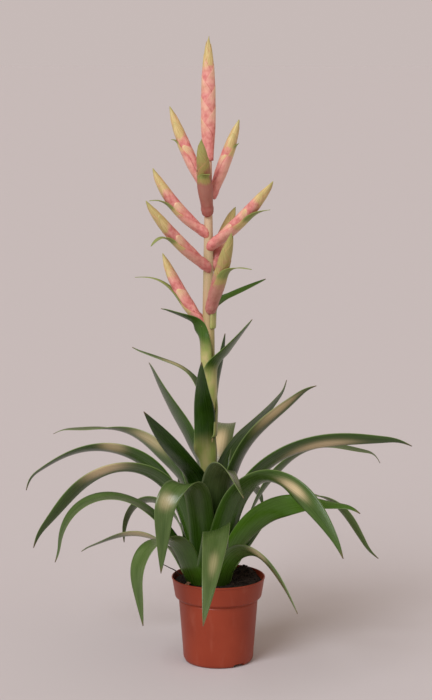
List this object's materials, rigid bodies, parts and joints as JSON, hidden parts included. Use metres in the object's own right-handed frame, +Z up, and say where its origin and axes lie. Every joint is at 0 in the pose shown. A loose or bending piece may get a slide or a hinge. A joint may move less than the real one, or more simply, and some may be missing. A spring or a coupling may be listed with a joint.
{
  "type": "potted bromeliad",
  "caption": "Flowering bromeliad in a plastic nursery pot: arching strap-leaf rosette, leafy stem and a branched head of pink bract spikes.",
  "frame": {"origin": "on the table under the centre of the pot's foot", "axes": "+Z up, +X to the right and -Y to the front as the plant is seen from its show side"},
  "size_m": [0.4933, 0.5183, 0.7939],
  "materials": {
    "pot_plastic": "satin moulded terracotta colour",
    "peat": "dark crumbly peat",
    "bark": "dry bark",
    "twig": "dark twig",
    "stem_skin": "smooth pale green",
    "leaf_green": "satin leaf",
    "leaf_dark": "dark satin leaf",
    "flower_bract": "waxy pink"
  },
  "bodies": {
    "root": {"pot": "pot_plastic", "soil": "peat", "bark_chip": "bark", "twig_long": "twig", "twig_short": "twig", "stem": "stem_skin", "leaf_front_1": "leaf_dark", "leaf_front_2": "leaf_dark", "leaf_front_3": "leaf_green", "leaf_left_1": "leaf_dark", "leaf_left_2": "leaf_dark", "leaf_left_3": "leaf_green", "leaf_left_4": "leaf_green", "leaf_left_5": "leaf_green", "leaf_left_6": "leaf_green", "leaf_left_7": "leaf_green", "leaf_left_8": "leaf_green", "leaf_left_9": "leaf_green", "leaf_left_10": "leaf_green", "leaf_right_1": "leaf_green", "leaf_right_2": "leaf_green", "leaf_right_3": "leaf_green", "leaf_right_4": "leaf_green", "leaf_right_5": "leaf_green", "leaf_right_6": "leaf_green", "leaf_right_7": "leaf_green", "leaf_right_8": "leaf_green", "leaf_back_1": "leaf_green", "leaf_back_2": "leaf_green", "leaf_back_3": "leaf_green", "leaf_back_4": "leaf_green", "stem_leaf_1": "leaf_green", "stem_leaf_2": "leaf_dark", "stem_leaf_3": "leaf_green", "stem_leaf_4": "leaf_green", "stem_leaf_5": "leaf_green", "spike_top": "flower_bract", "spike_1": "flower_bract", "spike_2": "flower_bract", "spike_3": "flower_bract", "spike_4": "flower_bract", "spike_5": "flower_bract", "spike_6": "flower_bract", "spike_7": "flower_bract", "spike_8": "flower_bract", "spike_9": "flower_bract", "bract_1": "flower_bract", "bract_2": "flower_bract", "bract_3": "flower_bract", "bract_4": "flower_bract", "bract_5": "flower_bract", "bract_6": "flower_bract", "bract_7": "flower_bract", "bract_8": "flower_bract", "bract_9": "flower_bract"}
  },
  "joints": []
}
